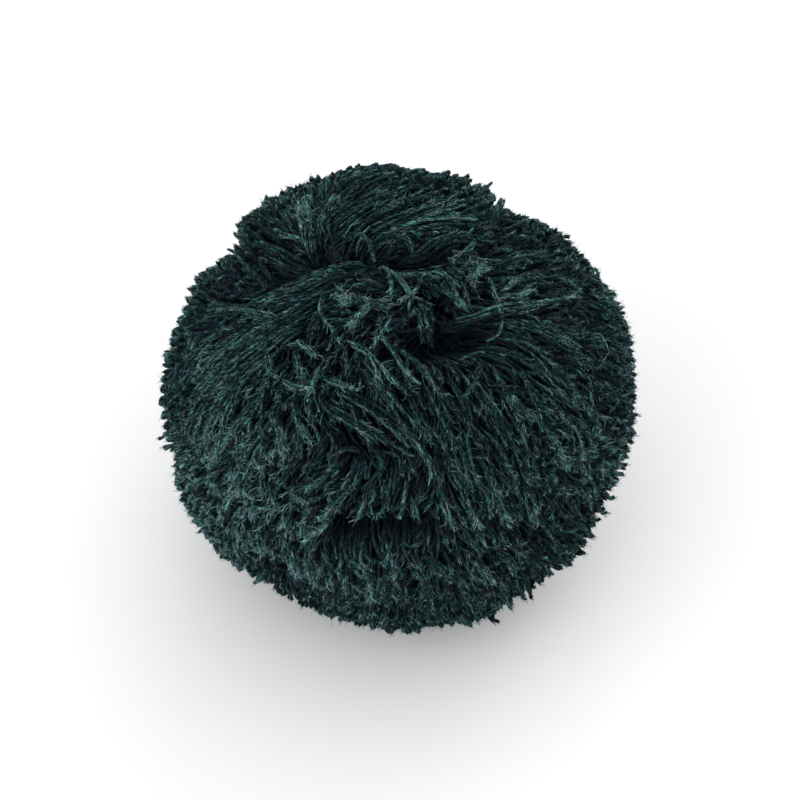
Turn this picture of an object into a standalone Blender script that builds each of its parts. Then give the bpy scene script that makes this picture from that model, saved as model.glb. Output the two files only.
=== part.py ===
"""A pom pom of dark green yarn, 110 mm across, resting on a flat spot under it.

It is one solid. The packed yarn round the tie is a lumpy ball, and every face of that ball is drawn
out into a lock of cut yarn with three sides. The locks lean over as the yarn does: away from the
crown, and down over a cleft in the front. Those underneath are shorter, and their cut ends are level
on the surface that the pom pom rests on.

Metres, +Z up. The origin is on that surface, under the middle of the pom pom. The tables are given
in the plane of the view from VIEW_ELEVATION above the horizon, looking along +Y: x to the right and
y up from the ball's centre, in millimetres. Headings turn anticlockwise from the right.
"""

from collections import namedtuple
from math import atan2, cos, exp, hypot, pi, radians, sin, sqrt
from random import Random

import bmesh
import bpy
from mathutils import Vector

MM = 0.001

# Driving sizes.
MEAN_REACH = 53.6 * MM  # from the ball's centre to the cut ends, seen from the view
TOP_REACH = 50.5 * MM  # straight up
DEPTH_REACH = 54.0 * MM  # along the view
CENTRE_HEIGHT = 47.0 * MM  # of the ball's centre over the surface
LOCK_LENGTH = 17.0 * MM  # from the packed yarn to the cut end, where a lock stands straight
FLOOR_GAP = 2.2 * MM  # under the locks that stop short of the surface
VIEW_ELEVATION = radians(50)

# The ball's net of faces.
NET_POINTS = 152  # which give 300 faces, one for each lock
NET_SHAKE = 0.045
NET_SEED = 13

# A lock, from its root on the packed yarn to its cut end.
ROOT_INSET = 0.17  # share of the way from a face's corners to its middle
LEAN_SHARE = 0.8  # of the lean that the flow table gives
FULL_LEAN = 15.0 * MM  # a run this long lies as flat as yarn does
FLATTEST = 0.72
LOCK_WIDTH = 4.6 * MM  # from the middle of a lock to its corners
SHORT_LOCK = 0.55  # share of that width on a lock of no length
LOCK_THINNING = 0.30  # how much thinner a lock is that lies flat
ROOT_DIP = 0.6  # share of a hollow's depth that its roots go down
BEND_PULL = 0.36  # share of a lock's length over which each end holds its heading
LENGTH_SPREAD = 1.3 * MM
TWIST_SPREAD = radians(16)
Section = namedtuple("Section", "along size")
SECTIONS = (
    Section(0.30, 0.96),
    Section(0.56, 1.00),
    Section(0.80, 0.90),
    Section(1.00, 0.62),
)

# The outline in the view: clock angle in degrees, and reach in millimetres.
OUTLINE_STEP = 15
OUTLINE_HOLDS = (0.72, 1.0)  # from the middle of the view to its edge, where the table takes over
OUTLINE = {
    0: 54.4, 15: 54.6, 30: 54.0, 45: 52.9, 60: 51.4, 75: 52.5,
    90: 53.0, 105: 53.6, 120: 54.6, 135: 53.0, 150: 52.6, 165: 53.8,
    180: 54.0, 195: 54.4, 210: 54.8, 225: 53.8, 240: 52.9, 255: 52.4,
    270: 53.4, 285: 54.6, 300: 56.0, 315: 55.0, 330: 54.7, 345: 54.7,
}

# The hollows and falls are felt on the side that faces the viewer, from 0 at its edge to 1.
TABLES_HOLD = (0, 0.25)

# Hollows between the falls of yarn: place, half length, half width, heading and depth.
Hollow = namedtuple("Hollow", "x y half_length half_width heading depth")
HOLLOWS = {
    "crown": Hollow(15, 15, 11, 6, 5, 8.0),
    "upper parting": Hollow(-3, 35, 15, 3.5, 0, 5.5),
    "left notch": Hollow(-31, 27, 6, 4, 10, 5.5),
    "left pocket": Hollow(-38, 23, 6, 3, 0, 3.0),
    "front cleft": Hollow(-2, -30, 18, 5.0, 0, 11.0),
    "right ledge": Hollow(34, -27, 10, 3, -10, 3.5),
    "middle pocket": Hollow(-11, -10, 6, 4, -30, 4.0),
    "lower left pocket": Hollow(-26, -42, 7, 3.5, -25, 4.0),
}

# The way the yarn falls: place of a cut end, its heading, and how long it lies on what is under it.
Fall = namedtuple("Fall", "x y heading run")
FALLS = (
    Fall(-30, 40, 135, 5), Fall(-22, 45, 98, 9), Fall(-8, 46, 48, 10), Fall(8, 43, 25, 10),
    Fall(25, 40, 20, 8), Fall(-28, 33, 178, 9), Fall(-42, 24, 165, 8), Fall(-24, 25, 206, 13),
    Fall(-36, 14, 210, 13), Fall(-48, 8, 195, 6), Fall(-42, -2, 235, 10), Fall(-36, -12, 245, 9),
    Fall(-45, -22, 222, 5), Fall(-30, -20, 255, 7), Fall(-36, -33, 232, 5), Fall(-24, -7, 282, 8),
    Fall(-22, -40, 272, 8), Fall(-16, 14, 285, 8), Fall(-4, 12, 258, 8), Fall(8, 8, 290, 8),
    Fall(-8, -6, 315, 9), Fall(4, 0, 308, 9), Fall(-8, -24, 245, 8), Fall(4, -22, 262, 8),
    Fall(14, -12, 280, 9), Fall(18, -24, 280, 8), Fall(26, -4, 304, 11), Fall(28, -20, 287, 8),
    Fall(38, -4, 312, 10), Fall(38, 12, 332, 11), Fall(40, 26, 358, 10), Fall(50, 0, 350, 4),
    Fall(45, -24, 335, 6), Fall(35, -34, 316, 7), Fall(24, -42, 304, 7), Fall(8, -38, 300, 8),
    Fall(-4, -44, 278, 6),
)
FALL_SPREAD = 8.0  # how far each row of the table is felt, in millimetres
STRAIGHT_WEIGHT = 0.05  # of standing straight, where no row is near

RIGHT = Vector((1, 0, 0))
UP = Vector((0, sin(VIEW_ELEVATION), cos(VIEW_ELEVATION)))
TO_VIEWER = Vector((0, -cos(VIEW_ELEVATION), sin(VIEW_ELEVATION)))
CENTRE = Vector((0, 0, CENTRE_HEIGHT))
DOWN = Vector((0, 0, -1))


def smooth_step(low, high, value):
    """0 below low, 1 above high, and an even curve between them."""
    share = min(1, max(0, (value - low) / (high - low)))
    return share * share * (3 - 2 * share)


def outline_reach(angle):
    """The outline table, read between its rows."""
    degrees = angle * 180 / pi % 360
    before = int(degrees // OUTLINE_STEP) * OUTLINE_STEP
    after = (before + OUTLINE_STEP) % 360
    share = (degrees - before) / OUTLINE_STEP
    return (OUTLINE[before % 360] * (1 - share) + OUTLINE[after] * share) * MM


def in_view(direction):
    """A direction from the centre, as its place in the view in millimetres and how far it faces it."""
    scale = MEAN_REACH / MM
    return direction @ RIGHT * scale, direction @ UP * scale, direction @ TO_VIEWER


def hollow_depth(direction):
    """How deep the hollows are in this direction."""
    x, y, facing = in_view(direction)
    depth = 0
    for hollow in HOLLOWS.values():
        turn = radians(hollow.heading)
        along = (x - hollow.x) * cos(turn) + (y - hollow.y) * sin(turn)
        across = (y - hollow.y) * cos(turn) - (x - hollow.x) * sin(turn)
        off = (along / hollow.half_length) ** 2 + (across / hollow.half_width) ** 2
        depth += hollow.depth * exp(-off)
    return depth * MM * smooth_step(*TABLES_HOLD, facing)


def reach(direction):
    """From the ball's centre to the cut ends, before the hollows and the surface underneath."""
    x, y, facing = in_view(direction)
    rise = abs(direction.z)
    upright = sqrt(1 - rise * rise)
    plain = 1 / hypot(upright / DEPTH_REACH, rise / TOP_REACH)
    edge = smooth_step(*OUTLINE_HOLDS, sqrt(max(0, 1 - facing * facing)))
    return plain * (1 - edge) + outline_reach(atan2(y, x)) * edge


def fall(direction):
    """The way the yarn falls here, along the ball, and the length that lies, in metres."""
    x, y, facing = in_view(direction)
    total = STRAIGHT_WEIGHT
    side = rise = 0
    for row in FALLS:
        off = ((x - row.x) ** 2 + (y - row.y) ** 2) / (2 * FALL_SPREAD**2)
        weight = exp(-off)
        total += weight
        side += weight * row.run * cos(radians(row.heading))
        rise += weight * row.run * sin(radians(row.heading))
    run = (RIGHT * side + UP * rise) / total * MM * smooth_step(*TABLES_HOLD, facing)
    way = run - direction * (run @ direction)
    if way.length < 1e-6:
        return direction.orthogonal().normalized(), 0
    return way.normalized(), run.length


def net():
    """Corners and faces of an even net of triangles on the unit ball, a little shaken."""
    shake = Random(NET_SEED)
    ball = bmesh.new()
    turn = pi * (3 - sqrt(5))
    for index in range(NET_POINTS):
        z = 1 - 2 * (index + 0.5) / NET_POINTS
        ring = sqrt(1 - z * z)
        point = Vector((ring * cos(turn * index), ring * sin(turn * index), z))
        point += Vector([shake.uniform(-NET_SHAKE, NET_SHAKE) for _ in range(3)])
        ball.verts.new(point.normalized())
    bmesh.ops.convex_hull(ball, input=ball.verts)
    bmesh.ops.recalc_face_normals(ball, faces=ball.faces)
    ball.verts.index_update()
    corners = [corner.co.copy() for corner in ball.verts]
    faces = [[corner.index for corner in face.verts] for face in ball.faces]
    ball.free()
    return corners, faces


def packed_point(direction):
    """Where the packed yarn ends and the locks begin."""
    depth = LOCK_LENGTH + ROOT_DIP * hollow_depth(direction)
    return CENTRE + direction * (reach(direction) - depth)


def cut_end(direction, longer):
    """The middle of a cut end, and whether it stands on the surface."""
    end = CENTRE + direction * (reach(direction) - hollow_depth(direction) + longer)
    if end.z < FLOOR_GAP:
        return CENTRE + direction * (CENTRE_HEIGHT / -direction.z), True
    return end, False


def lock_bend(middle, chance):
    """The four points that a lock bends by, how flat it lies, and whether it stands on the surface."""
    start = (middle - CENTRE).normalized()
    way, run = fall(start)
    run *= LEAN_SHARE
    turn = run / MEAN_REACH
    tip = start * cos(turn) + way * sin(turn)
    along = way * cos(turn) - start * sin(turn)
    end, on_surface = cut_end(tip, chance.uniform(-LENGTH_SPREAD, LENGTH_SPREAD))
    flat = FLATTEST * min(1, run / FULL_LEAN)
    heading = DOWN if on_surface else tip.lerp(along, flat).normalized()
    pull = (end - middle).length * BEND_PULL
    return (middle, middle + start * pull, end - heading * pull, end), flat, on_surface


def bend_point(bend, share):
    """A point on a lock's bend."""
    rest = 1 - share
    ends = bend[0] * rest**3 + bend[3] * share**3
    return ends + bend[1] * 3 * rest**2 * share + bend[2] * 3 * rest * share**2


def bend_heading(bend, share):
    """The heading of a lock's bend at a point."""
    rest = 1 - share
    ends = (bend[1] - bend[0]) * rest**2 + (bend[3] - bend[2]) * share**2
    return (ends + (bend[2] - bend[1]) * 2 * rest * share).normalized()


def lock_rings(root, chance):
    """The corners of each section of one lock, from its root's three corners."""
    middle = sum(root, Vector()) / 3
    bend, flat, on_surface = lock_bend(middle, chance)
    heading = bend_heading(bend, 0)
    up = fall(heading)[0]
    across = heading.cross(up).normalized()
    angles = [atan2((corner - middle) @ up, (corner - middle) @ across) for corner in root]
    length = (bend[3] - bend[0]).length
    width = LOCK_WIDTH * min(1, SHORT_LOCK + (1 - SHORT_LOCK) * length / LOCK_LENGTH)
    twist = chance.uniform(-TWIST_SPREAD, TWIST_SPREAD)
    rings = []
    for section in SECTIONS:
        new_heading = bend_heading(bend, section.along)
        turned = heading.rotation_difference(new_heading)
        heading = new_heading
        up = turned @ up
        across = turned @ across
        point = bend_point(bend, section.along)
        wide = width * section.size
        thin = wide * (1 - LOCK_THINNING * flat)
        spun = [angle + twist * section.along for angle in angles]
        rings.append([point + across * cos(a) * wide + up * sin(a) * thin for a in spun])
    if on_surface:
        for corner in rings[-1]:
            corner.z = 0
    return rings


def pom_pom():
    """The whole pom pom as corners and faces."""
    net_corners, net_faces = net()
    corners = [packed_point(direction) for direction in net_corners]
    faces = []
    chance = Random(NET_SEED)
    for face in net_faces:
        outer = [corners[index] for index in face]
        middle = sum(outer, Vector()) / 3
        root = [corner.lerp(middle, ROOT_INSET) for corner in outer]
        last = list(face)
        for ring in [root, *lock_rings(root, chance)]:
            new = list(range(len(corners), len(corners) + 3))
            corners += ring
            for here in range(3):
                there = (here + 1) % 3
                faces.append((last[here], last[there], new[there], new[here]))
            last = new
        faces.append(tuple(last))
    return corners, faces


def yarn_material():
    """Dark green wool, dull all over."""
    material = bpy.data.materials.new("dark_green_yarn")
    material.use_nodes = True
    shader = material.node_tree.nodes["Principled BSDF"]
    shader.inputs["Base Color"].default_value = (0.012, 0.045, 0.045, 1)
    shader.inputs["Roughness"].default_value = 0.9
    shader.inputs["Metallic"].default_value = 0.0
    return material


def over_origin(corners):
    """The corners, moved sideways so that the origin is under the middle of the pom pom."""
    middle_x = (min(c.x for c in corners) + max(c.x for c in corners)) / 2
    middle_y = (min(c.y for c in corners) + max(c.y for c in corners)) / 2
    return [corner - Vector((middle_x, middle_y, 0)) for corner in corners]


def main():
    for old in list(bpy.data.objects):
        bpy.data.objects.remove(old)
    corners, faces = pom_pom()
    mesh = bpy.data.meshes.new("pom_pom")
    mesh.from_pydata(over_origin(corners), [], faces)
    mesh.materials.append(yarn_material())
    mesh.validate()
    part = bpy.data.objects.new("pom_pom", mesh)
    bpy.context.scene.collection.objects.link(part)


main()
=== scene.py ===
"""The looks of a dark green pom pom: some 18,000 cut lengths of two-ply yarn, and their fuzz.

Metres, +Z up. The tables are given in the plane of the photo's view, which looks along +Y and down
by VIEW_ELEVATION: x to the right and y up from the ball's centre, in millimetres. Headings turn
anticlockwise from the right. Directions and points are arrays with a row for each.
"""

from collections import namedtuple
from math import cos, hypot, pi, radians, sin, sqrt

import bmesh
import bpy
import numpy as np
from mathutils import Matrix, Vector


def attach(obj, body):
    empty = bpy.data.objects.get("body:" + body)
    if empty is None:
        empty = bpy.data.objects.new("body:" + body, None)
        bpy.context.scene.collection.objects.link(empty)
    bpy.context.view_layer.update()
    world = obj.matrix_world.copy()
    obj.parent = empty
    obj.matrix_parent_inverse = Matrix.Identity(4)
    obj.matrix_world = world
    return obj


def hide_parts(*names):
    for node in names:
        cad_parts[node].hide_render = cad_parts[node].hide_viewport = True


MM = 0.001

# The ball, as in the solid.
MEAN_REACH = 53.6 * MM
TOP_REACH = 50.5 * MM
DEPTH_REACH = 54.0 * MM
CENTRE = np.array((-0.35, 0.64, 47.0)) * MM
VIEW_ELEVATION = radians(50)
RIGHT = np.array((1, 0, 0))
UP = np.array((0, sin(VIEW_ELEVATION), cos(VIEW_ELEVATION)))
TO_VIEWER = np.array((0, -cos(VIEW_ELEVATION), sin(VIEW_ELEVATION)))

# The outline in the view, as places from the right anticlockwise, without the points that stand out.
OUTLINE = (
    (54.2, 0), (54.2, 5), (53.6, 9.5), (53.6, 13), (52.2, 17), (50.4, 21.5), (48.3, 25), (46.4, 28),
    (44, 30.5), (41.2, 33), (38.2, 37), (35, 38.6), (32.6, 40.4), (29.6, 41), (25.4, 42.8),
    (23, 43.6), (21.8, 46.6), (20, 48.2), (17.2, 48.4), (16.6, 49.8), (14, 50.4), (11, 51.2),
    (5, 51.8), (0, 52.7), (-5, 52.7), (-10, 52.2), (-13.5, 51.3), (-17, 50.4), (-21, 49.4),
    (-25, 47.8), (-29, 45.9), (-32.5, 43.4), (-35, 41), (-36.6, 38.6), (-36.4, 36), (-37, 33.4),
    (-40, 30.9), (-43.8, 29), (-46.4, 25.6), (-48, 22), (-49, 19), (-50.6, 15.4), (-51.8, 12),
    (-53.2, 8.6), (-53.8, 3), (-53.8, 0), (-53, -4), (-52.4, -8), (-50.8, -12.6), (-50.2, -15),
    (-50.9, -17.4), (-50.2, -20.2), (-48.8, -23.4), (-47.3, -26.4), (-45.6, -29.2), (-43.6, -31.8),
    (-41, -34.6), (-38.8, -37.2), (-35.8, -39.2), (-32.6, -41), (-30, -42), (-28, -44), (-25.8, -45.8),
    (-22.8, -46.8), (-19, -48.4), (-16, -49.4), (-12, -50.4), (-8, -51.6), (-4, -52.6), (0, -53.3),
    (5, -52.8), (10, -51.6), (14, -51), (17, -51.6), (20, -50.2), (23, -48), (25.4, -46), (28, -44.8),
    (30.6, -43), (33, -41.4), (35.4, -38.8), (38.6, -38.6), (40.4, -36), (42.6, -33.6), (44.4, -30.6),
    (45.2, -28), (47.2, -24.4), (47.8, -21.8), (49.6, -19.6), (50.6, -17.6), (51.6, -15),
    (53.2, -11.8), (54, -8), (54, -4),
)

# Hollows: place, half length, half width above and below, heading and depth.
HOLLOW_ROWS = (
    (13.5, 15, 11, 4.4, 5, 6, 12),  # crown
    (6, 10.5, 5, 2.6, 3, -30, 4),  # crown left
    (31, 11, 9, 3, 3, -30, 2.5),  # crown right
    (2, 16.5, 5, 2.2, 2, -20, 5),  # crown top
    (-15, 34.6, 9, 2.4, 2.6, 8, 11),  # upper parting left
    (-2, 32.5, 5, 2, 2, -25, 5),  # upper parting middle
    (5.5, 35, 9.5, 2, 2.3, -3, 10),  # upper parting right
    (-30, 28.6, 9, 3, 3.4, 22, 10),  # left notch
    (-39, 22.6, 5, 2.6, 2.6, 10, 4.5),  # left pocket
    (-15, 7, 2.5, 2.5, 2.5, 0, 4),  # middle pocket
    (-28, 9.5, 5, 2.6, 2.6, -10, 4),  # left middle pocket
    (-10.5, -11.5, 6, 3, 3.6, -38, 7),  # under the bundle
    (-23.5, -16, 7, 1.5, 1.5, 34, 5),  # groove
    (-3, -30, 14, 2.8, 3.6, 1, 17),  # front cleft
    (-14, -32.2, 4, 2.8, 2.8, 75, 8),  # cleft left
    (30, -31, 11, 1.8, 2.4, -8, 6),  # right ledge
    (38, -24, 4, 1.3, 1.8, -20, 4),  # right ledge end
    (-30, -38.5, 4.5, 2.2, 2.6, -25, 5.5),  # lower left pocket
    (-25.6, -42.8, 8.5, 2.6, 3.2, -36, 10),  # lower left edge
    (3, -42, 3, 2.5, 2.5, 0, 4),  # lower pocket
    (1.5, -49, 4, 2, 2.5, 0, 5),  # lower edge
    (14, -34.5, 3, 1.6, 1.6, 0, 3),  # lower right pocket
)
Hollow = namedtuple("Hollow", "x y half_length above below heading depth")
HOLLOWS = [Hollow(*row) for row in HOLLOW_ROWS]

# The way the yarn falls: place of a cut end, its heading, and how long it lies on what is under it.
FALLS = (
    # The tuft and the edge at the upper left.
    (-37, 39, 132, 4), (-30, 44, 122, 5), (-24, 47, 110, 5), (-17, 49, 82, 5), (-27, 38, 150, 6),
    (-28, 35, 180, 9), (-23, 33, 182, 9), (-34, 36, 170, 6), (-41, 33, 160, 5), (-46, 27, 158, 5),
    (-50, 18, 168, 4), (-46, 21, 175, 8), (-20, 43, 80, 6),
    # The top.
    (-12, 44, 30, 15), (-4, 48, 22, 14), (-2, 42, 25, 14), (-8, 39, 28, 14), (8, 46, 25, 12),
    (14, 48, 42, 8), (22, 45, 48, 7), (16, 42, 22, 10), (8, 41, 8, 12), (5, 36.5, -15, 9),
    (-6, 36, 15, 10), (20, 40, 14, 9),
    # The long sweep at the left.
    (-10, 30, 205, 16), (-20, 27, 207, 22), (-30, 21, 212, 26), (-37, 15, 217, 26),
    (-42, 8, 223, 22), (-26, 16, 220, 20), (-18, 20, 216, 15), (-33, 6, 228, 18),
    (-45, 0, 238, 14), (-41, -8, 248, 13), (-35, -4, 240, 13), (-31, -12, 238, 10),
    (-29, 2, 226, 12), (-12, 24, 205, 12), (-24, 22, 213, 22),
    # The left edge.
    (-50, 6, 202, 6), (-52, -4, 206, 5), (-51, -11, 212, 6), (-49, -18, 210, 5), (-46, -26, 218, 5),
    (-40, -34, 226, 5), (-49, 12, 188, 5),
    # The lower left.
    (-38, -22, 240, 9), (-32, -20, 246, 9), (-36, -30, 238, 8), (-30, -30, 252, 9),
    (-34, -37, 246, 7), (-24, -27, 250, 8), (-18, -17, 218, 12), (-24, -22, 224, 12),
    (-14, -22, 226, 11), (-20, -28, 232, 9),
    # The middle.
    (-24, 8, 292, 8), (-20, 3, 286, 7), (-22, -6, 300, 8), (-27, -9, 290, 9), (-17, 4, 250, 8),
    (-12, 14, 258, 8), (-20, 14, 286, 6), (-12, -6, 325, 13), (-6, -10, 320, 13), (-1, -15, 303, 10),
    (-2, 16, 242, 9), (-4, 8, 246, 9), (-8, 1, 262, 8), (0, 3, 276, 8), (6, 1, 290, 8),
    (6, 13, 277, 8), (11, 4, 292, 8), (17, 3, 288, 8), (3, 24, 230, 8), (-6, 22, 200, 8),
    # The upper right.
    (14, 33, 5, 10), (20, 30, 0, 7), (22, 36, 15, 9), (30, 36, 25, 9), (30, 30, 12, 10),
    (38, 30, 16, 8), (29, 42, 36, 7), (36, 38, 35, 6), (44, 27, 12, 6), (38, 24, 4, 10),
    (12, 27, 300, 7), (18, 25, 300, 6),
    # The right.
    (22, 20, 6, 7), (27, 20, 357, 11), (34, 20, 353, 12), (43, 19, 350, 8), (26, 14, 350, 12),
    (34, 13, 342, 12), (44, 10, 338, 8), (24, 8, 334, 11), (33, 6, 330, 13), (43, 2, 325, 8),
    (21, 2, 318, 10), (30, 0, 312, 12), (38, -6, 308, 11), (26, -6, 305, 12), (18, -8, 298, 11),
    (12, -12, 288, 11), (31, -12, 302, 11), (39, -15, 302, 8), (23, -17, 294, 11),
    (14, -20, 284, 10), (30, -20, 294, 9), (6, -17, 276, 10), (0, -23, 266, 9), (-7, -24, 254, 9),
    (6, -24, 272, 9), (20, -25, 286, 9),
    # The right edge.
    (50, 12, 2, 4), (52, 0, 350, 4), (51, -9, 344, 5), (49, -18, 336, 6), (45, -26, 326, 6),
    # The skirt under the cleft.
    (-19, -38, 268, 10), (-10, -40, 272, 10), (-2, -40, 276, 10), (6, -40, 286, 10),
    (14, -38, 296, 10), (22, -38, 303, 10), (30, -34, 312, 9), (37, -30, 322, 8), (-22, -46, 265, 7),
    (-8, -49, 270, 6), (6, -50, 278, 6), (18, -48, 293, 6), (28, -43, 306, 7), (38, -38, 318, 6),
    (-30, -44, 244, 5),
)
FALL_SPREAD = 4.5
STRAIGHT_WEIGHT = 0.02
TABLES_HOLD = (-0.1, 0.15)

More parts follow.
